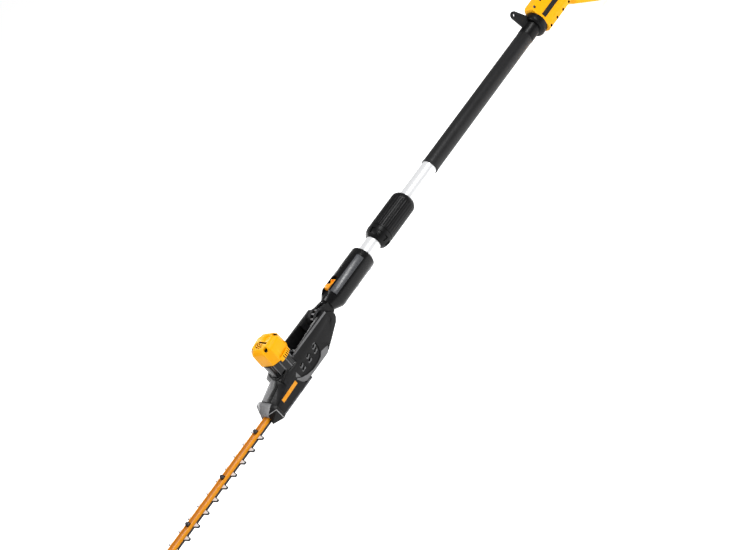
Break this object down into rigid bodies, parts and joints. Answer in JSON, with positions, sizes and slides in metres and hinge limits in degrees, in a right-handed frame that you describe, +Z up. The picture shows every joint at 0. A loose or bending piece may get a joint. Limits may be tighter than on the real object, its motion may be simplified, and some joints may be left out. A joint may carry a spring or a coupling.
{
  "type": "pole hedge trimmer",
  "caption": "Battery pole hedge trimmer: double-action cutter bar on a tilting motor head, two-piece aluminium pole with clamp collar and soft grip, rear D-handle and slide-on battery.",
  "frame": {"origin": "centre of the footprint of the whole tool's bounding box, at the underside of the battery", "axes": "+X along the pole from the cutter bar's tip to the battery, +Z up on the side the motor stands on, +Y across the tool, away from the side with the screw heads"},
  "size_m": [2.04, 0.075, 0.179],
  "materials": {
    "yellow_plastic": "fine-grained moulded yellow plastic",
    "black_plastic": "fine-textured black glass-filled nylon",
    "grey_plastic": "satin grey plastic",
    "grip_foam": "charcoal soft pole grip with a fine grain",
    "soft_rubber": "soft black overmould",
    "pole_aluminium": "clear anodised drawn tube",
    "rail_orange": "satin orange powder coat",
    "blade_steel": "ground steel faces, black oxide flats",
    "dark_steel": "black oxide steel",
    "bright_steel": "zinc plated steel",
    "latch_orange": "orange-yellow glossy plastic",
    "cast_alloy": "die-cast, fine shot-blasted",
    "red_plastic": "red glossy plastic",
    "brass_contact": "tinned brass",
    "circuit": "potted circuit board",
    "copper_wound": "lacquered winding and laminations",
    "cell_wrap": "shrink-wrapped cells"
  },
  "bodies": {
    "rear": {"handle_shell_left": "yellow_plastic", "handle_shell_right": "yellow_plastic", "handle_screws": "dark_steel", "grip_overmold": "soft_rubber", "side_panels": "soft_rubber", "strap_collar": "black_plastic", "tube_upper": "pole_aluminium", "pole_grip_sleeve": "grip_foam", "sleeve_end_ring": "soft_rubber", "coupler_socket": "black_plastic", "plug_female": "brass_contact", "control_board": "circuit", "switch_module": "black_plastic", "terminal_block": "brass_contact", "trigger_pin": "bright_steel"},
    "trigger": {"trigger": "red_plastic"},
    "lockoff": {"lockoff_button": "black_plastic"},
    "battery": {"battery_case_lower": "black_plastic", "battery_case_upper": "black_plastic", "battery_cells": "cell_wrap"},
    "release": {"release_button": "yellow_plastic"},
    "gauge": {"gauge_button": "grey_plastic"},
    "collar": {"coupler_collar": "black_plastic"},
    "front": {"tube_lower": "pole_aluminium", "plug_male": "grey_plastic", "adapter_shell_left": "black_plastic", "adapter_shell_right": "black_plastic", "adapter_screws": "bright_steel", "adapter_strip": "grey_plastic", "knuckle": "cast_alloy"},
    "latch": {"latch_pin": "bright_steel", "latch_lever": "latch_orange"},
    "head": {"head_shell_left": "black_plastic", "head_shell_right": "black_plastic", "head_screws": "bright_steel", "pivot_bolt": "dark_steel", "index_disc": "cast_alloy", "motor_ring_base": "black_plastic", "motor_cap": "yellow_plastic", "motor_stator": "copper_wound", "motor_bearings": "bright_steel", "gear_case_cover": "dark_steel", "cover_screws": "bright_steel", "hand_guard": "black_plastic", "blade_rail": "rail_orange", "blade_bolts": "dark_steel"},
    "rotor": {"motor_rotor": "dark_steel", "cooling_fan": "grey_plastic", "pinion": "bright_steel"},
    "crank": {"crank_gear": "bright_steel"},
    "upper_blade": {"blade_upper": "blade_steel"},
    "lower_blade": {"blade_lower": "blade_steel"}
  },
  "joints": [
    {"name": "head_pull_out", "type": "slide", "parent": "rear", "child": "front", "axis": [-1, 0, 0], "range_m": [0, 0.09]},
    {"name": "collar_turn", "type": "hinge", "parent": "rear", "child": "collar", "pos_m": [0.02, 0, 0.115], "axis": [1, 0, 0], "range_deg": [0, 270]},
    {"name": "tilt_latch", "type": "slide", "parent": "front", "child": "latch", "axis": [1, 0, 0], "range_m": [-0.005, 0.003], "stiffness_N_per_m": 600},
    {"name": "head_tilt", "type": "hinge", "parent": "front", "child": "head", "pos_m": [-0.225, 0, 0.11], "axis": [0, 1, 0], "range_deg": [-90, 90]},
    {"name": "rotor_spin", "type": "hinge", "parent": "head", "child": "rotor", "pos_m": [-0.34, 0, 0.13], "axis": [0, 0, 1], "continuous": true},
    {"name": "crank_spin", "type": "hinge", "parent": "head", "child": "crank", "pos_m": [-0.372, 0, 0.085], "axis": [0, 0, 1], "continuous": true},
    {"name": "upper_blade_stroke", "type": "slide", "parent": "head", "child": "upper_blade", "axis": [1, 0, 0], "range_m": [-0.0095, 0.0095]},
    {"name": "lower_blade_stroke", "type": "slide", "parent": "head", "child": "lower_blade", "axis": [1, 0, 0], "range_m": [-0.0095, 0.0095]},
    {"name": "trigger_pull", "type": "hinge", "parent": "rear", "child": "trigger", "pos_m": [0.745, 0, 0.105], "axis": [0, -1, 0], "range_deg": [0, 8], "stiffness_Nm_per_rad": 1, "springref_deg": -5.73},
    {"name": "lockoff_press", "type": "slide", "parent": "rear", "child": "lockoff", "axis": [0, 0, -1], "range_m": [0, 0.004], "stiffness_N_per_m": 600, "springref_m": -0.001},
    {"name": "battery_slide", "type": "slide", "parent": "rear", "child": "battery", "axis": [1, 0, 0], "range_m": [0, 0.1]},
    {"name": "battery_release", "type": "slide", "parent": "battery", "child": "release", "axis": [-1, 0, 0], "range_m": [0, 0.003], "stiffness_N_per_m": 800, "springref_m": -0.001},
    {"name": "gauge_press", "type": "slide", "parent": "battery", "child": "gauge", "axis": [-1, 0, 0], "range_m": [0, 0.0012], "stiffness_N_per_m": 800, "springref_m": -0.001}
  ],
  "couplings": [
    {"joint": "crank_spin", "follows": "rotor_spin", "ratio": -0.23529},
    {"joint": "lower_blade_stroke", "follows": "upper_blade_stroke", "ratio": -1}
  ]
}
